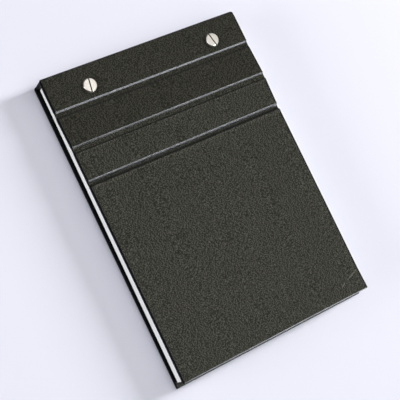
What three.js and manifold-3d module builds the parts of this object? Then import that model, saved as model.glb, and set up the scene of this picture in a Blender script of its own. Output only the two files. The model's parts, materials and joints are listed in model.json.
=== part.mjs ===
// A screw-bound notepad: a block of A5 pages in a hard case covered in bookcloth.
// The pad lies on its back. +Y is its head, where it is bound, +Z is out of its front cover,
// and the origin is the middle of its underside. All sizes are in millimetres.
import * as THREE from "three";
import { mergeVertices } from "three/addons/utils/BufferGeometryUtils.js";
import Module from "manifold-3d";

const wasm = await Module();
wasm.setup();

// Pages
const pageWidth = 148;
const pageLength = 210;
const boundHeight = 11.2; // the block where the screws press it together
const leafThickness = 0.12;
const leafCount = 4; // the top leaves, each free to turn
const leafGap = 0.1; // air between loose leaves

// Case materials
const boardThickness = 1.75;
const clothThickness = 0.35;
const liningThickness = 0.15;
const glue = 0.03; // film between two layers
const turnIn = 14; // cloth folded over the inside of a board
const liningMargin = 3; // the lining stops this far inside the case's edges

// Case layout, with distances down from the head edge
const sideOverhang = 2; // case beyond the pages on each side
const headRoom = 0.8; // air between the spine and the pages
const footOverhang = 3.7; // back cover beyond the pages
const frontSetback = 1.9; // the front cover stops short of the back cover
const creaseFromHead = [24.5, 50, 74.1]; // middles of the three grooves
const grooveWidth = 4.5;
const grooveDepth = 1.3;
const clothSlit = 0.3; // free edge of the groove cloth to the next panel
const panelRise = 0.6; // the loose pages lift the flaps above the binding strip
const pressFilm = 0.05; // clearance between the pages and the boards that clamp them
const coverRest = 0.3; // clearance between the closed cover and the top leaf
const spineJoint = 0.05; // slit between the spine and the two boards beside it
const spineBackRadius = 2.2;
const spineFrontRadius = 1;

// Binding screws: a flanged barrel from the back and a slotted screw from the front
const screwFromHead = 14.8;
const screwFromLeft = 30.5;
const screwFromRight = 24.9;
const headDiameter = 9.4;
const headHeight = 1.2;
const headBevel = 0.4;
const slotWidth = 0.95;
const slotDepth = 0.7;
const slotTurn = { left: -9.9, right: 12.7 }; // degrees of each slot from the pad's length
const shankDiameter = 4;
const shankLength = 9;
const shankClearance = 0.1;
const barrelDiameter = 5;
const barrelShort = 0.6; // the barrel's mouth lies this far under the binding strip's face
const barrelFloor = 1;
const flangeHeight = 1.1;
const flangeRecess = 0.3; // the flange lies this far inside the back face
const holeClearance = 0.3;
const roundSteps = 40;

// Places along the width and the length
const caseWidth = pageWidth + 2 * sideOverhang;
const side = caseWidth / 2;
const spineThickness = 2 * clothThickness + 2 * glue + boardThickness;
const caseLength = spineThickness + headRoom + pageLength + footOverhang;
const head = caseLength / 2;
const foot = -caseLength / 2;
const pageHead = head - spineThickness - headRoom;
const pageFoot = pageHead - pageLength;
const panelHead = head - spineThickness - spineJoint;
const creases = creaseFromHead.map((distance) => head - distance);
const stripFoot = creases[0] + grooveWidth / 2;
const screwY = head - screwFromHead;
const screws = {
  left: -side + screwFromLeft,
  right: side - screwFromRight,
};

// Levels, from the back face up
const sleeveThickness = 2 * clothThickness + 2 * glue + boardThickness;
const panelThickness = sleeveThickness + glue + liningThickness;
const blockBottom = panelThickness + pressFilm;
const boundTop = blockBottom + boundHeight;
const stripBottom = boundTop + pressFilm;
const stripTop = stripBottom + panelThickness;
const coverTop = stripTop + panelRise;
const coverBottom = coverTop - panelThickness;
const leafPitch = leafThickness + leafGap;
const leafTop = coverBottom - coverRest;
const looseTop = leafTop - leafCount * leafPitch;
const leafHead = creases[0] - grooveWidth / 2;

// Colours
const finish = {
  cloth: { color: 0x43433d, roughness: 0.85, metalness: 0 },
  board: { color: 0x8b8578, roughness: 0.95, metalness: 0 },
  lining: { color: 0x2b2b2a, roughness: 0.9, metalness: 0 },
  paper: { color: 0xf1f0ee, roughness: 0.9, metalness: 0 },
  nickel: { color: 0xc9c5bf, roughness: 0.25, metalness: 1 },
};

const pad = new THREE.Group();

function add(name, geometry, look) {
  const mesh = new THREE.Mesh(geometry, new THREE.MeshStandardMaterial(finish[look]));
  mesh.name = name;
  pad.add(mesh);
  return mesh;
}

// A box between two corners, each given as [x, y, z].
function box(low, high) {
  const size = high.map((value, i) => value - low[i]);
  const middle = high.map((value, i) => (value + low[i]) / 2);
  return new THREE.BoxGeometry(...size).translate(...middle);
}

// A closed outline in the Y-Z plane, drawn out along X from -reach to +reach.
function acrossWidth(outline, reach) {
  const bar = new THREE.ExtrudeGeometry(outline, {
    depth: 2 * reach,
    bevelEnabled: false,
    curveSegments: 8,
  });
  const axes = new THREE.Matrix4().makeBasis(
    new THREE.Vector3(0, 1, 0),
    new THREE.Vector3(0, 0, 1),
    new THREE.Vector3(1, 0, 0),
  );
  return bar.applyMatrix4(axes).translate(-reach, 0, 0);
}

// A turned piece about an upright axis, from [radius, z] points read upwards.
function turned(points) {
  const profile = points.map(([radius, z]) => new THREE.Vector2(radius, z));
  return new THREE.LatheGeometry(profile, roundSteps).rotateX(Math.PI / 2);
}

function rod(diameter, low, high) {
  const radius = diameter / 2;
  return turned([
    [0, low],
    [radius, low],
    [radius, high],
    [0, high],
  ]);
}

function toSolid(geometry) {
  const bare = geometry.clone();
  bare.deleteAttribute("normal");
  bare.deleteAttribute("uv");
  const merged = mergeVertices(bare, 1e-4);
  return new wasm.Manifold(
    new wasm.Mesh({
      numProp: 3,
      vertProperties: new Float32Array(merged.attributes.position.array),
      triVerts: new Uint32Array(merged.index.array),
    }),
  );
}

function toGeometry(solid) {
  const mesh = solid.getMesh();
  const geometry = new THREE.BufferGeometry();
  geometry.setAttribute("position", new THREE.BufferAttribute(mesh.vertProperties, 3));
  geometry.setIndex(new THREE.BufferAttribute(mesh.triVerts, 1));
  geometry.computeVertexNormals();
  return geometry;
}

function cut(geometry, ...tools) {
  let solid = toSolid(geometry);
  for (const tool of tools) solid = solid.subtract(toSolid(tool));
  return toGeometry(solid);
}

function join(geometry, ...others) {
  let solid = toSolid(geometry);
  for (const other of others) solid = solid.add(toSolid(other));
  return toGeometry(solid);
}

// Tools for the two screw holes, between two levels.
function screwHoles(diameter, low, high) {
  return Object.values(screws).map((x) => rod(diameter, low, high).translate(x, screwY, 0));
}

const barrelHole = barrelDiameter + 2 * holeClearance;
const flangeHole = headDiameter + 2 * holeClearance;
const flangeTop = flangeRecess + flangeHeight;
const through = 1; // how far a cutting tool runs past a face

// A panel's board lies in a sleeve of cloth: the outer face, a wall round every edge, and a
// turned-in margin on the inside. "faces" is 1 where the outer face is up and -1 where it is down.
function panel({ headEdge, footEdge, outer, faces, footTurnIn }) {
  const level = (depth) => outer - faces * depth;
  const span = (reach, y0, y1, d0, d1) => {
    const z = [level(d0), level(d1)].sort((a, b) => a - b);
    return box([-reach, y0, z[0]], [reach, y1, z[1]]);
  };
  const wall = clothThickness;
  const sleeve = span(side, footEdge, headEdge, 0, sleeveThickness);
  const pocket = span(side - wall, footEdge + wall, headEdge - wall, wall, sleeveThickness - wall);
  const windowFoot = footEdge + (footTurnIn ? turnIn : wall);
  const window = span(
    side - turnIn,
    windowFoot,
    headEdge - wall,
    sleeveThickness - 2 * wall,
    sleeveThickness + through,
  );
  const inset = wall + glue;
  const board = span(side - inset, footEdge + inset, headEdge - inset, inset, sleeveThickness - inset);
  const lining = span(
    side - liningMargin,
    footEdge + (footTurnIn ? liningMargin : 0),
    headEdge,
    sleeveThickness + glue,
    panelThickness,
  );
  return { cloth: cut(sleeve, pocket, window), board, lining };
}

// The cloth pressed into a groove. It belongs to the panel on the head side of the groove.
function grooveCloth(crease, outer) {
  const floorTop = outer - grooveDepth;
  const near = crease + grooveWidth / 2 + clothThickness / 2;
  const far = crease - grooveWidth / 2 + clothSlit;
  return box([-side, far, floorTop - clothThickness], [side, near, floorTop]);
}

// Back cover, with counterbores for the barrels' flanges
const back = panel({ headEdge: panelHead, footEdge: foot, outer: 0, faces: -1, footTurnIn: true });
const backTools = [
  ...screwHoles(barrelHole, -through, panelThickness + through),
  ...screwHoles(flangeHole, -through, flangeTop),
];
add("back_board", cut(back.board, ...backTools), "board");
add("back_cover_cloth", cut(back.cloth, ...backTools), "cloth");
add("back_lining", cut(back.lining, ...backTools), "lining");

// Binding strip, with the cloth of the first groove
const strip = panel({
  headEdge: panelHead,
  footEdge: stripFoot,
  outer: stripTop,
  faces: 1,
  footTurnIn: false,
});
const stripTools = screwHoles(barrelHole, stripBottom - through, stripTop + through);
const stripCloth = join(strip.cloth, grooveCloth(creases[0], stripTop));
add("binding_strip_board", cut(strip.board, ...stripTools), "board");
add("binding_strip_cloth", cut(stripCloth, ...stripTools), "cloth");
add("binding_strip_lining", cut(strip.lining, ...stripTools), "lining");

// Spine: an upright board in a channel of cloth that rounds the pad's two head corners
function spineOutline(inset) {
  const low = inset;
  const high = stripTop - inset;
  const inner = head - spineThickness + inset;
  const outer = head - inset;
  const backRound = spineBackRadius - inset;
  const frontRound = spineFrontRadius - inset;
  const outline = new THREE.Shape();
  outline.moveTo(inner, low);
  outline.absarc(outer - backRound, low + backRound, backRound, -Math.PI / 2, 0, false);
  outline.absarc(outer - frontRound, high - frontRound, frontRound, 0, Math.PI / 2, false);
  outline.lineTo(inner, high);
  outline.closePath();
  return outline;
}

const spineChannel = cut(
  acrossWidth(spineOutline(0), side),
  acrossWidth(spineOutline(clothThickness), side - clothThickness),
  box(
    [-side + turnIn, head - spineThickness - through, panelThickness],
    [side - turnIn, head - spineThickness + 2 * clothThickness, stripBottom],
  ),
);
const boardInset = clothThickness + glue;
const spineBoard = box(
  [-side + boardInset, head - spineThickness + boardInset, spineBackRadius + glue],
  [side - boardInset, head - boardInset, stripTop - spineFrontRadius - glue],
);
add("spine_board", spineBoard, "board");
add("spine_cloth", spineChannel, "cloth");

// The three panels that fold back over the head
const folding = [
  { name: "upper_flap", headCrease: 0, footEdge: creases[1] + grooveWidth / 2 },
  { name: "lower_flap", headCrease: 1, footEdge: creases[2] + grooveWidth / 2 },
  { name: "front_cover", headCrease: 2, footEdge: foot + frontSetback },
];
for (const { name, headCrease, footEdge } of folding) {
  const isLast = headCrease === creases.length - 1;
  const made = panel({
    headEdge: creases[headCrease] - grooveWidth / 2,
    footEdge,
    outer: coverTop,
    faces: 1,
    footTurnIn: isLast,
  });
  const cloth = isLast ? made.cloth : join(made.cloth, grooveCloth(creases[headCrease + 1], coverTop));
  add(name + "_board", made.board, "board");
  add(name + "_cloth", cloth, "cloth");
  add(name + "_lining", made.lining, "lining");
}

// Pages: one drilled block, lower where the free leaves lie on it
function paperBlock() {
  const bound = box([-pageWidth / 2, leafHead, blockBottom], [pageWidth / 2, pageHead, boundTop]);
  const overlap = 0.5; // how far the two boxes share material before they are joined
  const loose = box(
    [-pageWidth / 2, pageFoot, blockBottom],
    [pageWidth / 2, leafHead + overlap, looseTop],
  );
  return cut(join(bound, loose), ...screwHoles(barrelHole, blockBottom - through, boundTop + through));
}
add("paper_block", paperBlock(), "paper");

for (let i = 0; i < leafCount; i += 1) {
  const top = leafTop - i * leafPitch;
  const leaf = box(
    [-pageWidth / 2, pageFoot, top - leafThickness],
    [pageWidth / 2, leafHead, top],
  );
  add("leaf_" + (i + 1), leaf, "paper");
}

// Binding screws
const barrelTop = stripTop - barrelShort;
const boreRadius = shankDiameter / 2 + shankClearance;

function barrel() {
  return turned([
    [0, flangeRecess],
    [headDiameter / 2 - headBevel, flangeRecess],
    [headDiameter / 2, flangeRecess + headBevel],
    [headDiameter / 2, flangeTop],
    [barrelDiameter / 2, flangeTop],
    [barrelDiameter / 2, barrelTop],
    [boreRadius, barrelTop],
    [boreRadius, flangeTop + barrelFloor],
    [0, flangeTop + barrelFloor],
  ]);
}

function slottedScrew(turn) {
  const seat = stripTop + glue;
  const top = seat + headHeight;
  const body = turned([
    [0, seat - shankLength],
    [shankDiameter / 2, seat - shankLength],
    [shankDiameter / 2, seat],
    [headDiameter / 2, seat],
    [headDiameter / 2, top - headBevel],
    [headDiameter / 2 - headBevel, top],
    [0, top],
  ]);
  const slot = box(
    [-slotWidth / 2, -headDiameter, top - slotDepth],
    [slotWidth / 2, headDiameter, top + through],
  ).rotateZ(THREE.MathUtils.degToRad(turn));
  return cut(body, slot);
}

for (const [place, x] of Object.entries(screws)) {
  add("post_barrel_" + place, barrel(), "nickel").position.set(x, screwY, 0);
  add("post_screw_" + place, slottedScrew(slotTurn[place]), "nickel").position.set(x, screwY, 0);
}

export default pad;
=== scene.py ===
"""A screw-bound notepad in a hard case of dark bookcloth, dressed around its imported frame."""

import json
import math

import bpy
import bmesh
import numpy as np
from mathutils import Matrix, Quaternion, Vector, noise


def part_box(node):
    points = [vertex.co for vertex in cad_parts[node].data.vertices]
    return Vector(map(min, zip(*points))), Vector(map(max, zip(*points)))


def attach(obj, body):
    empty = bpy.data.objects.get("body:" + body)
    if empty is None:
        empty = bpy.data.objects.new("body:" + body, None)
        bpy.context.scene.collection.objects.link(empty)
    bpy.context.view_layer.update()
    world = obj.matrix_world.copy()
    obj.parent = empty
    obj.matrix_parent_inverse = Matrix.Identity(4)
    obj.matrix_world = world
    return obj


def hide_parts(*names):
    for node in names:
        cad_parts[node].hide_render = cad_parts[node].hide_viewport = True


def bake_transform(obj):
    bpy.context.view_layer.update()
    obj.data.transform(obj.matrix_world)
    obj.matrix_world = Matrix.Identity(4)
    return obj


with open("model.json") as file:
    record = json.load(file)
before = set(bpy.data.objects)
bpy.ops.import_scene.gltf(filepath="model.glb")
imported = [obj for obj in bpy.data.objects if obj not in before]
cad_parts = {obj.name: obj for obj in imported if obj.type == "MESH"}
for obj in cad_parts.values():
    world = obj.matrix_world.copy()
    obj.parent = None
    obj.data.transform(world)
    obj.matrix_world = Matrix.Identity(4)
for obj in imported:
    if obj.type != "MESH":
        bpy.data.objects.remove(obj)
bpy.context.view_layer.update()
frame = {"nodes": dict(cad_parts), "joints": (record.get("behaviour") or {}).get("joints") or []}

MM = 0.001

# Places that come from the frame, in metres
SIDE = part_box("back_cover_cloth")[1].x
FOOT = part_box("back_cover_cloth")[0].y
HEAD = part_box("spine_cloth")[1].y
STRIP_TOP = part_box("binding_strip_cloth")[1].z
COVER_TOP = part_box("front_cover_cloth")[1].z
COVER_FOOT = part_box("front_cover_cloth")[0].y
CREASES = [j["pos_m"][1] for j in frame["joints"] if j["name"].startswith("crease_")]
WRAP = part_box("front_cover_cloth")[1].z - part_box("front_cover_cloth")[0].z
PAGE_LOW, PAGE_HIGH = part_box("paper_block")
LEAF_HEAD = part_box("leaf_1")[1].y

# Cloth and boards
EDGE_ROUND = 0.6 * MM  # board edges under the cloth
SHADE_BAND = 0.4 * MM  # painted shade also darkens the cloth this far in from a rounded side
FOOT_ROUND = 1.1 * MM  # the front cover's foot edge, which is rubbed rounder
CORNER_ROUND = 1.1 * MM  # the case's corners at the spine, seen from the front
RIGHT_CORNER_ROUND = 2.3 * MM  # the one on the right is worn rounder
GROOVE_STARTS = [1.2 * MM, 1.4 * MM, 1.8 * MM]  # each groove's head edge, from its crease
GROOVE_ENDS = [-4.0 * MM, -3.9 * MM, -3.1 * MM]  # and its foot edge
HEAD_BANKS = [1.3 * MM, 1.2 * MM, 2.1 * MM]  # widths of the steep banks that face the foot
BANK_ROUND = 0.16  # share of a bank's width that is rounded at its top and its foot
VALLEY_RISE = 0.35  # share of a groove's depth that it climbs before its foot bank
LIP_SHARE = 0.3  # share of a groove's width, past the head bank, that its foot bank takes
PANEL_CROWN = {"lower": 0.14 * MM, "main": 0.14 * MM}  # swell of a panel beside its groove
CROWN_REACH = 3 * MM
RIGHT_TRIM = 0.85 * MM  # the panels past the second crease stop this much short on the right
LEFT_TRIM = 0.36 * MM  # and the main panel this much on the left, at its foot
CORNER_LIFT = 0.9 * MM  # the main panel's foot corner on the right is bent up a little
CORNER_FOLD = ((76.0 * MM, 16.1 * MM), (38.0 * MM, 0.0))  # along this line, from its foot
GROOVE_SKIN = 0.55 * MM  # cloth and lining together at the floor of a groove
LINING = 0.15 * MM
LINING_MARGIN = 3 * MM
LINING_GAP = 0.02 * MM
SPINE_BACK_ROUND = 2.2 * MM
SPINE_FRONT_ROUND = 1.0 * MM
INNER_ROUND = 0.3 * MM
SEAM_FROM_GROOVE = 1.2 * MM  # the case's wrap meets the first groove's wrap here
CLOTH_WAVE = 0.04 * MM  # unevenness of cloth glued over board
CLOTH_WAVE_SPAN = (38 * MM, 55 * MM)  # its size across the cover and along it
CLOTH_WAVE_FADE = 5 * MM  # it grows to its full height over this much above the back board
CLOTH_WAVE_SLICE = 1.7  # the slice of the noise that it takes

# How finely the wraps are divided
BANK_STEPS = 18
VALLEY_STEPS = 8
LIP_STEPS = 14
PANEL_STEP = 2.5 * MM
LEAST_STEP = 0.04 * MM
END_STEPS = 8
ARC_STEPS = 5
MOST_ROUND = 0.49  # share of a slab's depth that one rounded edge may take
BACK_STEP = 4 * MM
BACK_CLEAR = 3 * MM  # no flat row of the back is nearer than this to the spine's face
SPINE_STEPS = 7
STRIP_STEPS = 20
BACK_ARC_STEPS = 10
FRONT_ARC_STEPS = 8
CASE_COLUMNS = 110
COVER_COLUMNS = 76
LINING_COLUMNS = 24
LINING_EDGE = 0.05 * MM
SEAT_SIDES = 72
SMOOTH_ANGLE = 40  # in degrees: a sharper bend shows as an edge

# Heights of the front panels at their head and foot edges
PANEL_HEIGHTS = {
    "strip": (STRIP_TOP, STRIP_TOP),
    "upper": (COVER_TOP - 1.15 * MM, COVER_TOP + 0.25 * MM),
    "lower": (COVER_TOP - 0.05 * MM, COVER_TOP + 0.05 * MM),
    "main": (COVER_TOP + 0.1 * MM, COVER_TOP - 0.75 * MM),
}
GROOVE_FLOORS = [COVER_TOP - 1.75 * MM, COVER_TOP - 1.0 * MM, COVER_TOP - 1.6 * MM]

# Cloth pressed down round each screw head
DIMPLE_DEPTH = 0.28 * MM
DIMPLE_REACH = 3.4 * MM  # how far past the head's rim the cloth is drawn down
SEAT_GAP = 0.35 * MM  # ring of shadow between a head and the punched cloth
SEAT_DEPTH = 0.9 * MM
FLANGE_GAP = 0.25 * MM  # round each barrel's flange, a hair less than the back board's hole
FLANGE_SEAT = 1.38 * MM  # depth of its recess, a hair less than in the board


def smooth(t):
    """An even S curve from 0 to 1."""
    t = min(max(t, 0.0), 1.0)
    return t * t * (3 - 2 * t)


def mix(a, b, t):
    """The value a share t of the way from a to b."""
    return a + (b - a) * t


def bank(t):
    """A straight slope from 0 to 1 with a rounded foot and top."""
    t = min(max(t, 0.0), 1.0)
    r = BANK_ROUND
    if t < r:
        return t * t / (2 * r * (1 - r))
    if t > 1 - r:
        return 1 - (1 - t) ** 2 / (2 * r * (1 - r))
    return (t - r / 2) / (1 - r)


def valley(t):
    """A rise from 0 to 1 that starts level and ends in a steep bank."""
    climb = min(max(t / (1 - LIP_SHARE), 0.0), 1.0) ** 2
    return VALLEY_RISE * climb + (1 - VALLEY_RISE) * bank((t - 1 + LIP_SHARE) / LIP_SHARE)


GROOVES = [(c + s, c + e) for c, s, e in zip(CREASES, GROOVE_STARTS, GROOVE_ENDS)]

# Each front panel's name with its head edge and foot edge along Y
PANELS = [
    ("strip", HEAD, GROOVES[0][0]),
    ("upper", GROOVES[0][1], GROOVES[1][0]),
    ("lower", GROOVES[1][1], GROOVES[2][0]),
    ("main", GROOVES[2][1], COVER_FOOT),
]


def panel_height(index, y):
    """Height of a panel's outer face, carried on straight past its own edges."""
    name, head_y, foot_y = PANELS[index]
    start, end = PANEL_HEIGHTS[name]
    t = (head_y - y) / (head_y - foot_y)
    crown = PANEL_CROWN.get(name, 0.0) * (1 - smooth((head_y - y) / CROWN_REACH))
    if name == "main":
        t = max(t, 0.0) ** 2
    return mix(start, end, t) + crown


def cover_height(y, inner=False):
    """Outer or inner face of the front cover along its length, grooves included."""
    drop = WRAP if inner else 0.0
    for i, (start, end) in enumerate(GROOVES):
        if not end < y < start:
            continue
        floor = GROOVE_FLOORS[i] - (GROOVE_SKIN if inner else 0.0)
        bottom = start - HEAD_BANKS[i]
        if y > bottom:
            rise = bank((y - bottom) / HEAD_BANKS[i])
            return mix(floor, panel_height(i, y) - drop, rise)
        rise = valley((bottom - y) / (bottom - end))
        return mix(floor, panel_height(i + 1, y) - drop, rise)
    passed = sum(1 for crease in CREASES if y < crease)
    return panel_height(passed, y) - drop


def post_places(kind):
    """Centre and largest radius of each binding post's screw or barrel."""
    places = []
    for side in ("left", "right"):
        low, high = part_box("post_" + kind + "_" + side)
        places.append(((low + high) / 2, (high.x - low.x) / 2))
    return places


SCREWS = post_places("screw")
BARRELS = post_places("barrel")


def cloth_relief(x, y, z):
    """How far the cloth stands out from its plain surface at a place."""
    across, along = CLOTH_WAVE_SPAN
    wave = CLOTH_WAVE * noise.noise(Vector((x / across, (y + z) / along, CLOTH_WAVE_SLICE)))
    lift = wave * smooth((z - WRAP) / CLOTH_WAVE_FADE)
    if z > STRIP_TOP - SPINE_FRONT_ROUND and y > GROOVES[0][0]:
        for centre, radius in SCREWS:
            away = math.hypot(x - centre.x, y - centre.y) - radius
            lift -= DIMPLE_DEPTH * (1 - smooth(away / DIMPLE_REACH))
    return lift


def stations(high, low):
    """Places along Y from high to low: close together on the banks, wider on the panels."""
    marks = {high, low}
    for (start, end), width in zip(GROOVES, HEAD_BANKS):
        bottom = start - width
        lip = mix(end, bottom, LIP_SHARE)
        marks.update(mix(start, bottom, k / BANK_STEPS) for k in range(BANK_STEPS + 1))
        marks.update(mix(bottom, lip, k / VALLEY_STEPS) for k in range(1, VALLEY_STEPS))
        marks.update(mix(lip, end, k / LIP_STEPS) for k in range(LIP_STEPS + 1))
    y = high
    while y > low:
        marks.add(y)
        y -= PANEL_STEP
    kept = sorted((m for m in marks if low <= m <= high), reverse=True)
    spaced = [kept[0]]
    for m in kept[1:]:
        if spaced[-1] - m > LEAST_STEP:
            spaced.append(m)
    spaced[-1] = low
    return spaced


def round_end(outer, inner, direction, radius):
    """Rows that round a slab's last edge. direction is the unit step along the path."""
    rows = []
    o, i = np.array(outer), np.array(inner)
    across = (i - o) / np.linalg.norm(i - o)
    for k in range(1, END_STEPS + 1):
        angle = math.pi / 2 * k / END_STEPS
        down = radius * (1 - math.cos(angle))
        inset = EDGE_ROUND * (1 - math.cos(angle))
        step = np.array(direction) * radius * math.sin(angle)
        rows.append((tuple(o + step + across * down), tuple(i + step - across * down), inset))
    return rows


def slab_section(reach, depth, edge, columns):
    """A slab's outline across its width, as (x, depth below the outer face) points."""
    r = min(edge, depth * MOST_ROUND)
    flat = reach - r
    inner = flat - SHADE_BAND
    places = [-flat] + [-inner + 2 * inner * k / columns for k in range(columns + 1)] + [flat]
    turns = [math.pi / 2 * k / ARC_STEPS for k in range(ARC_STEPS + 1)]
    points = [(x, 0.0) for x in places]
    points += [(flat + r * math.sin(a), r * (1 - math.cos(a))) for a in turns[1:]]
    points += [(flat + r * math.cos(a), depth - r + r * math.sin(a)) for a in turns]
    points += [(-x, depth) for x in places[1:]]
    points += [(-flat - r * math.sin(a), depth - r * (1 - math.cos(a))) for a in turns[1:]]
    points += [(-flat - r * math.cos(a), r - r * math.sin(a)) for a in turns[:-1]]
    return points


def slab(name, rows, half_width, columns, edge=EDGE_ROUND, relief=None):
    """A closed slab swept along rows of (outer, inner, inset), points in the Y-Z plane.

    Its UV map "cloth" is in metres, across the width and along the path, so that a weave
    runs on round every edge.
    """
    bm = bmesh.new()
    cloth = bm.loops.layers.uv.new("cloth")
    loops = []
    places = []
    along = 0.0
    before = None
    for outer, inner, inset in rows:
        o, i = np.array(outer), np.array(inner)
        depth = np.linalg.norm(i - o)
        across = (i - o) / depth
        along += 0.0 if before is None else np.linalg.norm(o - before)
        before = o
        loop, place = [], []
        around, last = -half_width, None
        for x, s in slab_section(half_width - inset, depth, edge, columns):
            y, z = o + across * s
            around += 0.0 if last is None else math.hypot(x - last[0], s - last[1])
            last = (x, s)
            if relief:
                lift = relief(x, y, z) * (1 - s / depth)
                y -= across[0] * lift
                z -= across[1] * lift
            loop.append(bm.verts.new((x, y, z)))
            place.append((around, along))
        place.append((around + edge / ARC_STEPS, along))
        loops.append(loop)
        places.append(place)
    count = len(loops[0])
    for j, (a, b) in enumerate(zip(loops, loops[1:])):
        for k in range(count):
            n = (k + 1) % count
            face = bm.faces.new((a[k], b[k], b[n], a[n]))
            corners = (places[j][k], places[j + 1][k], places[j + 1][k + 1], places[j][k + 1])
            for corner, place in zip(face.loops, corners):
                corner[cloth].uv = place
    for ends in (loops[0], list(reversed(loops[-1]))):
        face = bm.faces.new(ends)
        for corner in face.loops:
            corner[cloth].uv = (corner.vert.co.x, corner.vert.co.y + corner.vert.co.z)
    bmesh.ops.recalc_face_normals(bm, faces=bm.faces)
    return mesh_object(name, bm)


def shade(mesh, angle=SMOOTH_ANGLE):
    """Smooths a mesh's shading, apart from bends sharper than an angle."""
    mesh.shade_smooth()
    mesh.set_sharp_from_angle(angle=math.radians(angle))


def mesh_object(name, bm):
    """Turns a finished bmesh into an object in the scene."""
    mesh = bpy.data.meshes.new(name)
    bm.to_mesh(mesh)
    bm.free()
    piece = bpy.data.objects.new(name, mesh)
    bpy.context.scene.collection.objects.link(piece)
    shade(mesh)
    return piece


def weigh_normals(piece):
    """Keeps flat faces flat beside small rounded edges."""
    modifier = piece.modifiers.new("flat faces", "WEIGHTED_NORMAL")
    modifier.keep_sharp = True
    modifier.weight = 80
    return piece


def right_trim(y):
    """How far the front cover's right side draws in past the second crease."""
    return RIGHT_TRIM * smooth((GROOVES[1][0] - y) / (GROOVES[1][0] - GROOVES[2][1]))


def left_trim(y):
    """How far its left side draws in between the third crease and its foot."""
    return LEFT_TRIM * smooth((CREASES[2] - y) / (CREASES[2] - COVER_FOOT))


def corner_lift(x, y):
    """How far the main panel rises past the fold across its foot corner."""
    (side_x, side_up), (foot_x, foot_up) = CORNER_FOLD
    along = Vector((foot_x - side_x, foot_up - side_up)).normalized()
    past = Vector((along.y, -along.x))
    reach = past @ Vector((SIDE - side_x, -side_up))
    distance = past @ Vector((x - side_x, y - COVER_FOOT - side_up))
    share = max(distance / reach, 0.0)
    return CORNER_LIFT * share * smooth(4 * share)


def fit_sides(piece):
    """Trims a front piece on both sides and bends its foot corner."""
    for vertex in piece.data.vertices:
        place = vertex.co
        if place.y < GROOVES[1][0]:
            place.z += corner_lift(place.x, place.y)
            share = (place.x + SIDE) / (2 * SIDE)
            place.x += mix(left_trim(place.y), -right_trim(place.y), share)


def wear_corner(case):
    """Rounds the case's right corner at the spine further than the left one."""
    for vertex in case.data.vertices:
        place = vertex.co
        more = corner_inset(place.y, RIGHT_CORNER_ROUND) - corner_inset(place.y)
        place.x -= max(more, 0.0) * (place.x + SIDE) / (2 * SIDE)


def cover_rows(high, low, foot_round=0.0):
    """Rows for a stretch of the front cover."""
    rows = []
    for y in stations(high, low + foot_round):
        rows.append(((y, cover_height(y)), (y, cover_height(y, inner=True)), 0.0))
    if foot_round:
        outer, inner, _ = rows[-1]
        rows += round_end(outer, inner, (-1.0, 0.0), foot_round)
    return rows


def lining_rows(high, low):
    """Rows for the lining paper under a stretch of the front cover."""
    rows = []
    for y in stations(high, low):
        face = cover_height(y, inner=True) - LINING_GAP
        rows.append(((y, face), (y, face - LINING), 0.0))
    return rows


def arc_rows(centre_out, radius_out, centre_in, radius_in, start, stop, steps):
    """Rows round a bend, with the outer and the inner face each on its own arc."""
    rows = []
    for k in range(steps + 1):
        a = math.radians(mix(start, stop, k / steps))
        ring = np.array((math.cos(a), math.sin(a)))
        outer = np.array(centre_out) + radius_out * ring
        inner = np.array(centre_in) + radius_in * ring
        rows.append((tuple(outer), tuple(inner), 0.0))
    return rows


def corner_inset(y, radius=CORNER_ROUND):
    """How far the case's sides draw in near the spine, which rounds its corners."""
    past = max(y - HEAD + radius, 0.0)
    return radius - math.sqrt(max(radius**2 - past**2, 0.0))


def case_rows(seam):
    """The wrap of the back board, the spine and most of the binding strip, from the foot."""
    inner_head = HEAD - WRAP
    back_out = (HEAD - SPINE_BACK_ROUND, SPINE_BACK_ROUND)
    back_in = (inner_head - INNER_ROUND, WRAP + INNER_ROUND)
    front_out = (HEAD - SPINE_FRONT_ROUND, STRIP_TOP - SPINE_FRONT_ROUND)
    front_in = (inner_head - INNER_ROUND, STRIP_TOP - WRAP - INNER_ROUND)
    start = FOOT + EDGE_ROUND
    rows = list(reversed(round_end((start, 0.0), (start, WRAP), (-1.0, 0.0), EDGE_ROUND)))
    y = start
    while y < HEAD - BACK_CLEAR:
        rows.append(((y, 0.0), (y, WRAP), 0.0))
        y += BACK_STEP
    rows += arc_rows(back_out, SPINE_BACK_ROUND, back_in, INNER_ROUND, -90, 0, BACK_ARC_STEPS)
    for k in range(1, SPINE_STEPS):
        z = mix(WRAP + INNER_ROUND, STRIP_TOP - WRAP - INNER_ROUND, k / SPINE_STEPS)
        rows.append(((HEAD, z), (inner_head, z), 0.0))
    rows += arc_rows(front_out, SPINE_FRONT_ROUND, front_in, INNER_ROUND, 0, 90, FRONT_ARC_STEPS)
    for k in range(1, STRIP_STEPS + 1):
        y = mix(inner_head - INNER_ROUND, seam, k / STRIP_STEPS)
        rows.append(((y, STRIP_TOP), (y, STRIP_TOP - WRAP), 0.0))
    return [(outer, inner, max(inset, corner_inset(outer[0]))) for outer, inner, inset in rows]


SEAM = GROOVES[0][0] + SEAM_FROM_GROOVE
UPPER_MIDDLE = (CREASES[0] + CREASES[1]) / 2
LOWER_MIDDLE = (CREASES[1] + CREASES[2]) / 2

# The wraps that cross a crease: name, head end, foot end, body before and after, crease
CROSSINGS = [
    ("first_crease", SEAM, UPPER_MIDDLE, "case", "upper_flap", 0),
    ("second_crease", UPPER_MIDDLE, LOWER_MIDDLE, "upper_flap", "lower_flap", 1),
    ("main", LOWER_MIDDLE, COVER_FOOT, "lower_flap", "front_cover", 2),
]


def blend_over_crease(piece, before, after, crease):
    """Bakes a piece's place into its mesh."""
    start, end = GROOVES[crease]
    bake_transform(piece)


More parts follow.
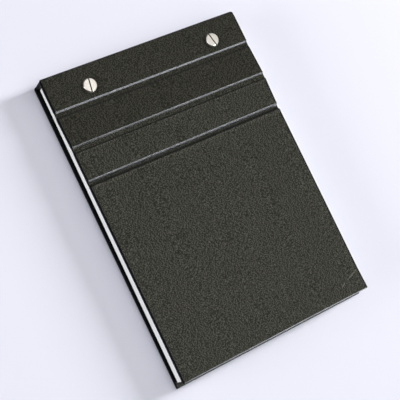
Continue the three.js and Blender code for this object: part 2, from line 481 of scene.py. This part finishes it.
def carve(piece, cutter):
    """Cuts one solid out of a piece and removes the cutter."""
    boolean = piece.modifiers.new("cut", "BOOLEAN")
    boolean.operation = "DIFFERENCE"
    boolean.solver = "EXACT"
    boolean.object = cutter
    graph = bpy.context.evaluated_depsgraph_get()
    final = bpy.data.meshes.new_from_object(piece.evaluated_get(graph))
    piece.modifiers.clear()
    piece.data = final
    bpy.data.objects.remove(cutter)


def punch(case, posts, gap, level, depth):
    """Sinks a round seat for each post, to a depth on either side of a level."""
    for centre, radius in posts:
        bm = bmesh.new()
        reach = radius + gap
        bmesh.ops.create_cone(
            bm, cap_ends=True, segments=SEAT_SIDES, radius1=reach, radius2=reach, depth=2 * depth
        )
        bmesh.ops.translate(bm, vec=(centre.x, centre.y, level), verts=bm.verts)
        carve(case, mesh_object("seat_cutter", bm))


def punch_seats(case):
    """Seats for the screws' heads in the binding strip, and for the barrels in the back."""
    punch(case, SCREWS, SEAT_GAP, STRIP_TOP, SEAT_DEPTH)
    punch(case, BARRELS, FLANGE_GAP, 0.0, FLANGE_SEAT)
    shade(case.data)


def in_seat(face):
    """Whether a face is on the walls or the floor of a screw's seat."""
    place = face.center
    # Between the dimple and just under the floor, and level faces at the floor alone
    if not STRIP_TOP - 1.1 * SEAT_DEPTH < place.z < STRIP_TOP - 0.5 * DIMPLE_DEPTH:
        return False
    if abs(face.normal.z) > 0.5 and place.z > STRIP_TOP - 0.9 * SEAT_DEPTH:
        return False
    return any(
        math.hypot(place.x - centre.x, place.y - centre.y) < radius + 1.02 * SEAT_GAP
        for centre, radius in SCREWS
    )


def beside_edge(place):
    """Whether a place on the front lies on the band of painted shade along a side."""
    trim = right_trim(place.y) if place.x > 0 else left_trim(place.y)
    start = SIDE - trim - EDGE_ROUND - SHADE_BAND
    return place.z > COVER_TOP - WRAP and abs(place.x) > start


# The cloths of one piece, in the order that case_cloths gives
PANEL, PAINTED_SHADE, GROOVE_SHADE, UPPER_SHADE, CROWN_HIGHLIGHT = range(5)


def cloth_kind(face):
    """Which of the case's cloths covers a face."""
    normal, place = face.normal, face.center
    inside_case = normal.z > SHADE_TURN and place.z < 2 * WRAP
    # The back reaches past the front cover at the foot, where its inside shows and gets the
    # grooves' painted shade
    if abs(normal.x) <= SHADE_TURN and inside_case and place.y < COVER_FOOT + FOOT_ROUND:
        return GROOVE_SHADE
    # Painted shade: near-black cloth on the sides, on the band beside them, inside the case and
    # in the screws' seats
    if abs(normal.x) > SHADE_TURN or beside_edge(place) or inside_case or in_seat(face):
        return PAINTED_SHADE
    if place.z < COVER_TOP - WRAP:
        return PANEL
    # Painted shade: the grooves' banks and lips, and the foot edge, get a darker, glossier cloth
    if normal.z > 0 and abs(normal.y) > GROOVE_SHADE_TURN and place.y < GROOVES[0][0]:
        return GROOVE_SHADE
    # Painted shade: the binding strip and the upper panel get a darker, browner cloth
    if place.y > GROOVES[1][0]:
        return UPPER_SHADE
    # Painted highlight: a paler cloth on each panel's edge just past a groove's foot edge
    highlighted = any(end - HIGHLIGHT_WIDTH < place.y < end for start, end in GROOVES[1:])
    return CROWN_HIGHLIGHT if highlighted else PANEL


def case_cloths(panel):
    """The cloths of one piece, of which only the panel's differs between pieces."""
    return [panel, edge_cloth(), pressed_cloth(), upper_cloth(), rubbed_cloth()]


def build_case():
    """The bookcloth over every board, in four pieces that meet on flat stretches."""
    case = slab("case_cover", case_rows(SEAM), SIDE, CASE_COLUMNS, relief=cloth_relief)
    wear_corner(case)
    punch_seats(case)
    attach(weigh_normals(case), "case")
    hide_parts("back_cover_cloth", "spine_cloth", "binding_strip_cloth", "spine_board")
    pieces = [case]
    for name, high, low, before, after, crease in CROSSINGS:
        foot_round = FOOT_ROUND if low == COVER_FOOT else 0.0
        rows = cover_rows(high, low, foot_round)
        piece = slab(name + "_cover", rows, SIDE, COVER_COLUMNS, relief=cloth_relief)
        fit_sides(piece)
        weigh_normals(piece)
        blend_over_crease(piece, before, after, crease)
        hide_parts(after + "_cloth", after + "_board")
        pieces.append(piece)
    for piece in pieces:
        panel = main_cloth() if piece.name == "main_cover" else bookcloth()
        for cloth in case_cloths(panel):
            piece.data.materials.append(cloth)
        for face in piece.data.polygons:
            face.material_index = cloth_kind(face)


def build_linings():
    """Lining paper inside the front panels."""
    for name, high, low, before, after, crease in CROSSINGS:
        end = low + LINING_MARGIN if low == COVER_FOOT else low
        rows = lining_rows(high, end)
        half_width = SIDE - LINING_MARGIN
        piece = slab(name + "_lining", rows, half_width, LINING_COLUMNS, edge=LINING_EDGE)
        fit_sides(piece)
        piece.data.materials.append(lining_paper())
        blend_over_crease(piece, before, after, crease)
        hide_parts(after + "_lining")


# Pages
SHEETS = 92
SHEET_FILL = 0.93  # share of its pitch that a sheet fills
PAGE_SHIFT = 0.85 * MM  # the pages lie askew: towards +X at the head
PAGE_SKEW = -0.82 * MM  # and back by this much at the foot, most of it in the first half
SHEET_SLIP = 0.05 * MM  # how unevenly the sheets are trimmed
LEAF_NODES = ["leaf_1", "leaf_2", "leaf_3", "leaf_4"]
LEAF_STEP = 0.2 * MM
LEAF_THICK = 0.12 * MM
LEAF_START = 3.5 * MM  # how far each leaf reaches in under the binding strip
LEAF_BEND = 4 * MM  # how far past the node's head edge its rows stay close together
STRIP_AIR = 0.25 * MM
COVER_AIR = 0.25 * MM
PAGE_SEED = 7
SHEET_STEPS = 24
BEND_STEPS = 30
LEAF_STEPS = 84


def under_cover(index, y):
    """The level that the top page may reach under a panel."""
    return panel_height(index, y) - WRAP - LINING - COVER_AIR


def stack_top(y):
    """Top of the pages under the cover, at a place along Y."""
    bound = STRIP_TOP - WRAP - STRIP_AIR
    start = GROOVES[0][0]
    if y >= start:
        return bound
    if y > CREASES[1]:
        rise = smooth((start - y) / (start - CREASES[1]))
        return min(mix(bound, under_cover(1, CREASES[1]), rise), under_cover(1, y))
    if y > CREASES[2]:
        return min(under_cover(2, y), under_cover(3, y))
    return under_cover(3, y)


def sheet_rows(places, level, thick):
    """Rows of (y, top, underside) for one sheet."""
    return [(y, level(y), level(y) - thick(y)) for y in places]


def evenly(high, low, count):
    """Places from high to low that divide the way into equal steps."""
    return [mix(high, low, k / count) for k in range(count + 1)]


def thin_sheet(bm, rows, slip):
    """One sheet of paper as a thin closed ribbon, added to a mesh."""
    head_y, foot_y = rows[0][0], rows[-1][0]
    left, right = PAGE_LOW.x + slip, PAGE_HIGH.x + slip
    loops = []
    for y, top, low in rows:
        past = (head_y - y) / (head_y - foot_y)
        shift = PAGE_SHIFT + PAGE_SKEW * past * (2 - past)
        corners = [(left, top), (right, top), (right, low), (left, low)]
        loops.append([bm.verts.new((x + shift, y, z)) for x, z in corners])
    for a, b in zip(loops, loops[1:]):
        for k in range(4):
            n = (k + 1) % 4
            bm.faces.new((a[k], b[k], b[n], a[n]))
    bm.faces.new(loops[0])
    bm.faces.new(list(reversed(loops[-1])))


def build_page_block(rng):
    """The drilled block under the binding strip, as single sheets."""
    floor = PAGE_LOW.z
    leaves_deep = len(LEAF_NODES) * LEAF_STEP

    def pitch(y):
        return (stack_top(y) - leaves_deep - floor) / SHEETS

    bm = bmesh.new()
    for i in range(SHEETS):
        slip = rng.normal(0, SHEET_SLIP, 3)
        places = evenly(PAGE_HIGH.y + slip[0], PAGE_LOW.y + slip[1], SHEET_STEPS)

        def level(y, above=i + 1):
            return floor + pitch(y) * above

        rows = sheet_rows(places, level, lambda y: pitch(y) * SHEET_FILL)
        thin_sheet(bm, rows, slip[2])
    bmesh.ops.recalc_face_normals(bm, faces=bm.faces)
    block = mesh_object("page_block", bm)
    block.data.materials.append(page_paper())
    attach(block, "case")
    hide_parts("paper_block")


def build_leaves(rng):
    """The top sheets, with close rows near the first crease."""
    high = LEAF_HEAD + LEAF_START
    bend_end = LEAF_HEAD - LEAF_BEND
    for i, node in enumerate(LEAF_NODES):
        slip = rng.normal(0, SHEET_SLIP, 3)
        places = evenly(high, bend_end, BEND_STEPS)
        places += evenly(bend_end, PAGE_LOW.y + slip[1], LEAF_STEPS)[1:]

        def level(y, depth=i * LEAF_STEP):
            return stack_top(y) - depth

        bm = bmesh.new()
        thin_sheet(bm, sheet_rows(places, level, lambda y: LEAF_THICK), slip[2])
        bmesh.ops.recalc_face_normals(bm, faces=bm.faces)
        leaf = mesh_object("page_" + str(i + 1), bm)
        leaf.data.materials.append(page_paper())
        blend_over_crease(leaf, "case", node, 0)
        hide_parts(node)


# Binding screws
HEAD_BEVEL = 0.5 * MM
SLOT_WIDTH = 0.8 * MM
SLOT_DEPTH = 0.7 * MM
SLOT_TURN = {"left": -9.9, "right": 12.7}
TURNED_STEPS = 96
BEVEL_STEPS = 6
SHANK_RADIUS = 2.0 * MM
HEAD_LIFT = 0.02 * MM  # a head's underside lies this far above the floor of its seat
HEAD_ANGLE = 25  # in degrees: a sharper bend on a screw shows as an edge
SLACK = 0.01  # for faces that lie right on a limit


def turned(name, profile):
    """A lathe-turned piece from (radius, z) points, read from its foot to its top."""
    bm = bmesh.new()
    rings = []
    for radius, z in profile:
        if radius == 0:
            rings.append([bm.verts.new((0, 0, z))])
            continue
        ring = []
        for k in range(TURNED_STEPS):
            a = 2 * math.pi * k / TURNED_STEPS
            ring.append(bm.verts.new((radius * math.cos(a), radius * math.sin(a), z)))
        rings.append(ring)
    for a, b in zip(rings, rings[1:]):
        for k in range(TURNED_STEPS):
            n = (k + 1) % TURNED_STEPS
            if len(a) == 1:
                bm.faces.new((a[0], b[n], b[k]))
            elif len(b) == 1:
                bm.faces.new((a[k], a[n], b[0]))
            else:
                bm.faces.new((a[k], a[n], b[n], b[k]))
    bmesh.ops.recalc_face_normals(bm, faces=bm.faces)
    return mesh_object(name, bm)


def head_profile(radius, seat, top):
    """A flat head with a rounded bevel."""
    points = [(radius, seat), (radius, top - HEAD_BEVEL)]
    for k in range(1, BEVEL_STEPS + 1):
        a = math.pi / 2 * k / BEVEL_STEPS
        inset = HEAD_BEVEL * (1 - math.cos(a))
        points.append((radius - inset, top - HEAD_BEVEL + HEAD_BEVEL * math.sin(a)))
    return points


def cut_slot(screw, radius, top, turn):
    """Cuts a screwdriver slot across a head."""
    bm = bmesh.new()
    bmesh.ops.create_cube(bm, size=1.0)
    bmesh.ops.scale(bm, vec=(SLOT_WIDTH, 4 * radius, 2 * SLOT_DEPTH), verts=bm.verts)
    turn_matrix = Matrix.Rotation(math.radians(turn), 3, "Z")
    bmesh.ops.rotate(bm, cent=(0, 0, 0), matrix=turn_matrix, verts=bm.verts)
    bmesh.ops.translate(bm, vec=(0, 0, top), verts=bm.verts)
    carve(screw, mesh_object("slot_cutter", bm))


def finish_head(screw, top, turn):
    """Gives the flat face its true normal, and the slot and the sides their painted shade."""
    mesh = screw.data
    mesh.materials.clear()
    mesh.materials.append(nickel())
    mesh.materials.append(slot_metal())
    shade(mesh, HEAD_ANGLE)
    across = Matrix.Rotation(math.radians(-turn), 3, "Z")
    for face in mesh.polygons:
        place = across @ face.center
        inside = abs(place.x) < (0.5 + SLACK) * SLOT_WIDTH
        below = top - (1 + SLACK) * SLOT_DEPTH < place.z < top - SLACK * MM
        level = abs(face.normal.z) > 0.999
        upright = abs((across @ face.normal).x) > 0.99
        side = abs(face.normal.z) < 0.3 and place.z < top - 0.8 * HEAD_BEVEL
        # Painted shade: the head's sides and the slot's walls and floor get the darkened metal
        face.material_index = int(side or (inside and below and (level or upright)))
        if level:
            face.use_smooth = False


def build_screws():
    """The two slotted screws, each with its shank."""
    for side, (centre, radius) in zip(SLOT_TURN, SCREWS):
        node = "post_screw_" + side
        turn = SLOT_TURN[side]
        low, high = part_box(node)
        seat = STRIP_TOP - SEAT_DEPTH + HEAD_LIFT
        profile = [(0, low.z), (SHANK_RADIUS, low.z), (SHANK_RADIUS, seat)]
        profile += head_profile(radius, seat, high.z)
        profile += [(0, high.z)]
        screw = turned("screw_" + side, profile)
        cut_slot(screw, radius, high.z, turn)
        finish_head(screw, high.z, turn)
        screw.data.transform(Matrix.Translation((centre.x, centre.y, 0)))
        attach(screw, "screw_" + side)
        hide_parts(node)


class Nodes:
    """Shorthand for one material's node tree."""

    def __init__(self, name):
        self.made = bpy.data.materials.new(name)
        self.made.use_nodes = True
        self.tree = self.made.node_tree
        self.shader = self.tree.nodes["Principled BSDF"]

    def set(self, **values):
        """Sets the shader's own sockets, written with _ for a space."""
        for key, value in values.items():
            self.shader.inputs[key.replace("_", " ")].default_value = value

    def add(self, kind, **values):
        node = self.tree.nodes.new(kind)
        for key, value in values.items():
            setattr(node, key, value)
        return node

    def link(self, source, target):
        self.tree.links.new(source, target)

    def place(self, stretch=(1, 1, 1), cloth=False):
        """The object's own coordinates, or its cloth map, scaled by stretch."""
        if cloth:
            source = self.add("ShaderNodeUVMap", uv_map="cloth").outputs["UV"]
        else:
            source = self.add("ShaderNodeTexCoord").outputs["Object"]
        mapping = self.add("ShaderNodeMapping")
        mapping.inputs["Scale"].default_value = stretch
        self.link(source, mapping.inputs["Vector"])
        return mapping.outputs["Vector"]

    def noise(self, vector, scale, detail):
        texture = self.add("ShaderNodeTexNoise")
        texture.inputs["Scale"].default_value = scale
        texture.inputs["Detail"].default_value = detail
        self.link(vector, texture.inputs["Vector"])
        return texture.outputs["Fac"]

    def wave(self, vector, direction, scale):
        """Even bands from 0 to 1, square to the X or the Y direction."""
        texture = self.add("ShaderNodeTexWave", bands_direction=direction)
        texture.inputs["Scale"].default_value = scale
        self.link(vector, texture.inputs["Vector"])
        return texture.outputs["Fac"]

    def math(self, operation, a, b=0.0):
        """A sum or the like of two values, each a number or an output."""
        node = self.add("ShaderNodeMath", operation=operation)
        for socket, value in zip(node.inputs, (a, b)):
            if isinstance(value, (int, float)):
                socket.default_value = value
            else:
                self.link(value, socket)
        return node.outputs[0]

    def blend(self, a, b, share):
        """The value a share of the way from a to b."""
        return self.math("ADD", a, self.math("MULTIPLY", self.math("SUBTRACT", b, a), share))

    def stretch_range(self, value, low, high):
        """Maps low..high to 0..1 and holds the ends."""
        node = self.add("ShaderNodeMapRange")
        node.inputs["From Min"].default_value = low
        node.inputs["From Max"].default_value = high
        self.link(value, node.inputs["Value"])
        return node.outputs["Result"]

    def grid(self, vector, size, step=(0, 0, 0)):
        """A random tone for each square of a grid, or for the square a step away."""
        snap = self.add("ShaderNodeVectorMath", operation="SNAP")
        snap.inputs[1].default_value = (size, size, 1)
        self.link(vector, snap.inputs[0])
        scale = self.add("ShaderNodeVectorMath", operation="SCALE")
        scale.inputs["Scale"].default_value = 1 / size
        self.link(snap.outputs["Vector"], scale.inputs[0])
        move = self.add("ShaderNodeVectorMath", operation="ADD")
        move.inputs[1].default_value = step
        self.link(scale.outputs["Vector"], move.inputs[0])
        random = self.add("ShaderNodeTexWhiteNoise", noise_dimensions="2D")
        self.link(move.outputs["Vector"], random.inputs["Vector"])
        return random.outputs["Value"]

    def crossings(self, vector, size):
        """A fine even grain: each square differs from its neighbours."""
        beside = self.grid(vector, size, (1, 0, 0))
        below = self.grid(vector, size, (0, 1, 0))
        around = self.blend(beside, below, BELOW_SHARE)
        contrast = self.math("SUBTRACT", self.grid(vector, size), around)
        return self.stretch_range(contrast, -GRAIN_RANGE, GRAIN_RANGE)

    def streak(self, vector, start, end, width):
        """1 in the middle of a short line, fading to its ends and sides."""
        middle = [(a + b) / 2 for a, b in zip(start, end)]
        run, climb = end[0] - start[0], end[1] - start[1]
        mapping = self.add("ShaderNodeMapping", vector_type="TEXTURE")
        mapping.inputs["Location"].default_value = (*middle, 0)
        mapping.inputs["Rotation"].default_value = (0, 0, math.atan2(climb, run))
        mapping.inputs["Scale"].default_value = (math.hypot(run, climb) / 2, width / 2, 1)
        self.link(vector, mapping.inputs["Vector"])
        gradient = self.add("ShaderNodeTexGradient", gradient_type="SPHERICAL")
        self.link(mapping.outputs["Vector"], gradient.inputs["Vector"])
        return gradient.outputs["Fac"]

    def ramp(self, fac, stops):
        node = self.add("ShaderNodeValToRGB")
        elements = node.color_ramp.elements
        while len(elements) < len(stops):
            elements.new(0.5)
        for element, (place, colour) in zip(elements, stops):
            element.position = place
            element.color = (*colour, 1.0)
        self.link(fac, node.inputs["Fac"])
        return node.outputs["Color"]

    def bump(self, height, strength, distance):
        node = self.add("ShaderNodeBump")
        node.inputs["Strength"].default_value = strength
        node.inputs["Distance"].default_value = distance
        self.link(height, node.inputs["Height"])
        self.link(node.outputs["Normal"], self.shader.inputs["Normal"])


_made = {}


def once(make):
    """Makes a material the first time it is asked for, and gives the same one after."""

    def made():
        if make.__name__ not in _made:
            _made[make.__name__] = make()
        return _made[make.__name__]

    return made


THREAD = 0.66 * MM  # spacing of the bookcloth's threads
SLUB = 1.9 * MM  # length of a thick stretch of thread
SHADE_TURN = 0.14  # cloth whose normal leans this far to a side gets painted shade
GROOVE_SHADE_TURN = 0.25  # cloth that leans this far along the cover, in a groove, gets the grooves' painted shade
HIGHLIGHT_WIDTH = 1.3 * MM  # a panel's edge beside its groove, painted paler as a highlight
WAVE_PERIOD = 0.1 * math.pi  # a wave texture's period at scale 1
BELOW_SHARE = 0.3  # how much a thread is set against the one below it, not the one beside it
GRAIN_RANGE = 0.45  # differences between threads up to this much are told apart
GRAIN_SHARE = 0.88  # share of that grain in the cloth's tone; the rest are its slubs
SLUB_RANGE = (0.38, 0.62)
PATCH_SCALE = 450
PATCH_RANGE = (0.35, 0.65)
TONE_POWER = 2.1  # over 1, so that pale threads are rarer than dark ones
CROWN_SHADE = 0.6  # painted shade: how bright a thread's sides are beside its crown
MARK_POWER = 0.4  # under 1, so that a crease is pale over most of its length
ROUGH_SPREAD = 0.12  # pale threads are this much smoother than the mean, dark ones rougher
THREAD_HEIGHT = 0.08 * MM

# Creases in the main cover's cloth: both ends as (x, distance from its foot edge), and width
CREASE_MARKS = [
    ((75.3 * MM, 15.6 * MM), (64.0 * MM, 11.5 * MM), 1.1 * MM),
    ((62.2 * MM, 11.2 * MM), (57.4 * MM, 8.3 * MM), 1.0 * MM),
]


def woven_cloth(name, dark, light, gloss, marks=(), rough=0.4, relief=0.5, patches=0.04):
    """Plain-woven book linen with thick and thin threads, and painted shade at each thread's
    sides.

    marks are pale creases painted on, relief is how far the threads stand out, and patches is
    the share of an uneven blotchy tone.
    """
    n = Nodes(name)
    warp_tone = n.noise(n.place((1 / THREAD, 1 / SLUB, 1), cloth=True), 1.0, 0.0)
    weft_tone = n.noise(n.place((1 / SLUB, 1 / THREAD, 1), cloth=True), 1.0, 0.0)
    weave = n.place(cloth=True)
    warp = n.wave(weave, "X", WAVE_PERIOD / (2 * THREAD))
    weft = n.wave(weave, "Y", WAVE_PERIOD / (2 * THREAD))
    crossing = n.math("MULTIPLY", n.math("SUBTRACT", warp, 0.5), n.math("SUBTRACT", weft, 0.5))
    threads = n.blend(warp_tone, weft_tone, n.math("GREATER_THAN", crossing, 0.0))
    crown = n.math("MULTIPLY", n.math("ABSOLUTE", crossing), 4.0)
    slubs = n.stretch_range(threads, *SLUB_RANGE)
    tone = n.blend(slubs, n.crossings(weave, THREAD), GRAIN_SHARE)
    patch = n.stretch_range(n.noise(weave, PATCH_SCALE, 1.0), *PATCH_RANGE)
    tone = n.blend(tone, patch, patches)
    # Painted shade: each thread is darker at its sides and in the gaps than at its crown
    painted_crown_shade = n.blend(CROWN_SHADE, 1.0, crown)
    shaded_tone = n.math("MULTIPLY", n.math("POWER", tone, TONE_POWER), painted_crown_shade)
    for start, end, width in marks:
        mark = n.math("POWER", n.streak(weave, start, end, width), MARK_POWER)
        shaded_tone = n.math("ADD", shaded_tone, mark)
    n.link(n.ramp(shaded_tone, [(0.0, dark), (1.0, light)]), n.shader.inputs["Base Color"])
    roughness = n.blend(rough + ROUGH_SPREAD, rough - ROUGH_SPREAD, tone)
    n.link(roughness, n.shader.inputs["Roughness"])
    n.set(Specular_IOR_Level=gloss)
    n.bump(n.math("ADD", n.math("MULTIPLY", crown, 0.5), tone), relief, THREAD_HEIGHT)
    return n.made


CLOTH_DARK = (0.006, 0.0065, 0.003)
CLOTH_LIGHT = (0.108, 0.107, 0.086)
CLOTH_GLOSS = 0.19


def toned(share):
    """The cloth's paler colour at a share of its strength."""
    return tuple(share * c for c in CLOTH_LIGHT)


@once
def bookcloth():
    """Black with an olive cast."""
    return woven_cloth("bookcloth", CLOTH_DARK, CLOTH_LIGHT, CLOTH_GLOSS)


@once
def main_cloth():
    """The same cloth with two short creases near the cover's corner."""
    rows = cover_rows(LOWER_MIDDLE, COVER_FOOT, FOOT_ROUND)
    path = [Vector(outer) for outer, inner, inset in rows]
    length = sum((b - a).length for a, b in zip(path, path[1:]))
    marks = []
    for (x0, up0), (x1, up1), width in CREASE_MARKS:
        start = (x0 - EDGE_ROUND, length - up0)
        end = (x1 - EDGE_ROUND, length - up1)
        marks.append((start, end, width))
    return woven_cloth("main_cloth", CLOTH_DARK, CLOTH_LIGHT, CLOTH_GLOSS, marks)


@once
def pressed_cloth():
    """The same cloth, glossier, and darkened as painted shade in the grooves and over the foot
    edge.
    """
    light = toned(0.4)
    return woven_cloth(
        "pressed_cloth", (0.002,) * 3, light, 0.5, rough=0.3, relief=1.0, patches=0.5
    )


@once
def upper_cloth():
    """The same cloth, browner, and darker as painted shade on the binding strip and the upper
    panel.
    """
    return woven_cloth("upper_cloth", CLOTH_DARK, (0.079, 0.075, 0.06), CLOTH_GLOSS)


@once
def rubbed_cloth():
    """The same cloth, painted paler beside the grooves as a highlight."""
    return woven_cloth("rubbed_cloth", CLOTH_DARK, toned(1.3), CLOTH_GLOSS)


@once
def edge_cloth():
    """The same cloth, near black as painted shade on the boards' sides, inside the case and in
    the screws' seats.
    """
    return woven_cloth("edge_cloth", (0.001, 0.001, 0.001), (0.007, 0.007, 0.007), 0.04)


def plain_material(name, colour, spread, roughness, scale, bump=0.02):
    """A material with a little mottling of its colour and grain."""
    n = Nodes(name)
    grain = n.noise(n.place(), scale, 4.0)
    dark = tuple(c * (1 - spread) for c in colour)
    light = tuple(min(c * (1 + spread), 1.0) for c in colour)
    n.link(n.ramp(grain, [(0.3, dark), (0.7, light)]), n.shader.inputs["Base Color"])
    n.set(Roughness=roughness)
    n.bump(grain, 0.3, bump * MM)
    return n.made


@once
def lining_paper():
    return plain_material("lining_paper", (0.022, 0.022, 0.022), 0.15, 0.6, 900)


@once
def greyboard():
    return plain_material("greyboard", (0.26, 0.24, 0.2), 0.18, 0.95, 1400)


@once
def page_paper():
    return plain_material("page_paper", (0.84, 0.84, 0.85), 0.02, 0.85, 1600, bump=0.01)


@once
def nickel():
    n = Nodes("nickel")
    fine = n.noise(n.place(), 2600, 3.0)
    colour = n.ramp(fine, [(0.3, (0.78, 0.74, 0.69)), (0.7, (0.86, 0.82, 0.77))])
    n.link(colour, n.shader.inputs["Base Color"])
    n.set(Metallic=1.0, Roughness=0.3)
    n.bump(n.noise(n.place(), 900, 2.0), 0.15, 0.01 * MM)
    return n.made


@once
def slot_metal():
    """The slot and the sides of a head: the same metal, darkened as painted shade."""
    n = Nodes("slot_metal")
    grain = n.noise(n.place(), 2200, 3.0)
    colour = n.ramp(grain, [(0.3, (0.02, 0.017, 0.014)), (0.7, (0.05, 0.042, 0.034))])
    n.link(colour, n.shader.inputs["Base Color"])
    n.set(Metallic=0.4, Roughness=0.7)
    n.bump(grain, 0.3, 0.01 * MM)
    return n.made


def dress_frame():
    """Materials for the frame's own solids that stay."""
    looks = {
        "_board": greyboard,
        "_lining": lining_paper,
        "post_barrel_left": nickel,
        "post_barrel_right": nickel,
    }
    for name, node in frame["nodes"].items():
        for ending, look in looks.items():
            if name.endswith(ending):
                node.data.materials.clear()
                node.data.materials.append(look())


# Camera: what it looks at and from where, worked out from the case's corners in the photograph
AIM = Vector((-6.6, -3.79, 9.0)) * MM
DISTANCE = 709.26 * MM
AZIMUTH = -80.272
ELEVATION = 65.068
ROLL = -55.341
FOCAL_PIXELS = 1060
IMAGE_PIXELS = 400
SENSOR_WIDTH = 36

# Floor and surroundings
FLOOR_REACH = 6.0
FLOOR_COLOUR = (0.85, 0.85, 0.95, 1)
FLOOR_GLOW = 0.1  # share of the floor's brightness that shadows don't reach
FLOOR_GLOW_COLOUR = (0.86, 0.88, 0.98, 1)
WORLD_COLOUR = (0.93, 0.95, 1.0, 1)
WORLD_STRENGTH = 0.25


def make_camera():
    data = bpy.data.cameras.new("camera")
    camera = bpy.data.objects.new("camera", data)
    bpy.context.scene.collection.objects.link(camera)
    a, e = math.radians(AZIMUTH), math.radians(ELEVATION)
    back = Vector((math.sin(a) * math.cos(e), -math.cos(a) * math.cos(e), math.sin(e)))
    camera.location = AIM + back * DISTANCE
    camera.rotation_mode = "QUATERNION"
    level = (-back).to_track_quat("-Z", "Y")
    camera.rotation_quaternion = level @ Quaternion((0, 0, 1), math.radians(-ROLL))
    data.sensor_width = SENSOR_WIDTH
    data.lens = SENSOR_WIDTH * FOCAL_PIXELS / IMAGE_PIXELS
    data.clip_start, data.clip_end = 0.01, 50
    bpy.context.scene.camera = camera


def area_light(name, place, size, power, colour=(1.0, 1.0, 1.0)):
    """A soft rectangular lamp that points at the pad."""
    data = bpy.data.lights.new(name, "AREA")
    data.shape = "RECTANGLE"
    data.size, data.size_y = size
    data.energy = power
    data.color = colour
    light = bpy.data.objects.new(name, data)
    bpy.context.scene.collection.objects.link(light)
    light.location = place
    light.rotation_mode = "QUATERNION"
    light.rotation_quaternion = (-Vector(place)).to_track_quat("-Z", "Y")
    return light


def make_lights():
    area_light("ceiling", (0.42, -0.12, 1.0), (0.6, 0.8), 3.0, (1.0, 0.99, 0.93))
    area_light("fill", (-1.2, 0.1, 0.3), (0.8, 0.4), 10.4)
    key = area_light("key", (1.9, 0.1, 0.95), (0.4, 0.9), 46.0)
    key.visible_glossy = False  # its glare is kept off the cloth
    # Cards that only glossy surfaces show: one for the grooves' banks, one for the screws
    cards = [
        area_light("groove_card", (0.68, -1.35, 0.42), (0.5, 0.7), 29.0, (0.9, 0.94, 1.0)),
        area_light("screw_card", (0.42, 0.33, 1.0), (0.46, 0.14), 0.4, (1.0, 0.97, 0.92)),
    ]
    for card in cards:
        card.visible_diffuse = False


def floor_material():
    """Pale paper. What the camera and glossy surfaces see of it is partly lit from itself."""
    n = Nodes("floor")
    n.set(Base_Color=FLOOR_COLOUR, Roughness=0.9, Specular_IOR_Level=0.1)
    path = n.add("ShaderNodeLightPath")
    seen = n.math("ADD", path.outputs["Is Camera Ray"], path.outputs["Is Glossy Ray"])
    seen = n.math("ADD", seen, path.outputs["Is Transmission Ray"])
    glow = n.add("ShaderNodeEmission")
    glow.inputs["Color"].default_value = FLOOR_GLOW_COLOUR
    both = n.add("ShaderNodeMixShader")
    n.link(n.math("MULTIPLY", n.math("MINIMUM", seen, 1.0), FLOOR_GLOW), both.inputs["Fac"])
    n.link(n.shader.outputs["BSDF"], both.inputs[1])
    n.link(glow.outputs["Emission"], both.inputs[2])
    n.link(both.outputs["Shader"], n.tree.nodes["Material Output"].inputs["Surface"])
    return n.made


def make_stage():
    """A square floor under the pad."""
    bm = bmesh.new()
    corners = ((-1, -1), (1, -1), (1, 1), (-1, 1))
    bm.faces.new([bm.verts.new((x * FLOOR_REACH, y * FLOOR_REACH, 0)) for x, y in corners])
    floor = mesh_object("floor", bm)
    floor.data.materials.append(floor_material())


def make_world():
    world = bpy.data.worlds.new("studio")
    bpy.context.scene.world = world
    world.use_nodes = True
    back = world.node_tree.nodes["Background"]
    back.inputs["Color"].default_value = WORLD_COLOUR
    back.inputs["Strength"].default_value = WORLD_STRENGTH


def main():
    bpy.context.scene.view_settings.view_transform = "Standard"
    make_camera()
    build_case()
    build_linings()
    rng = np.random.default_rng(PAGE_SEED)
    build_page_block(rng)
    build_leaves(rng)
    build_screws()
    dress_frame()
    make_stage()
    make_world()
    make_lights()


main()
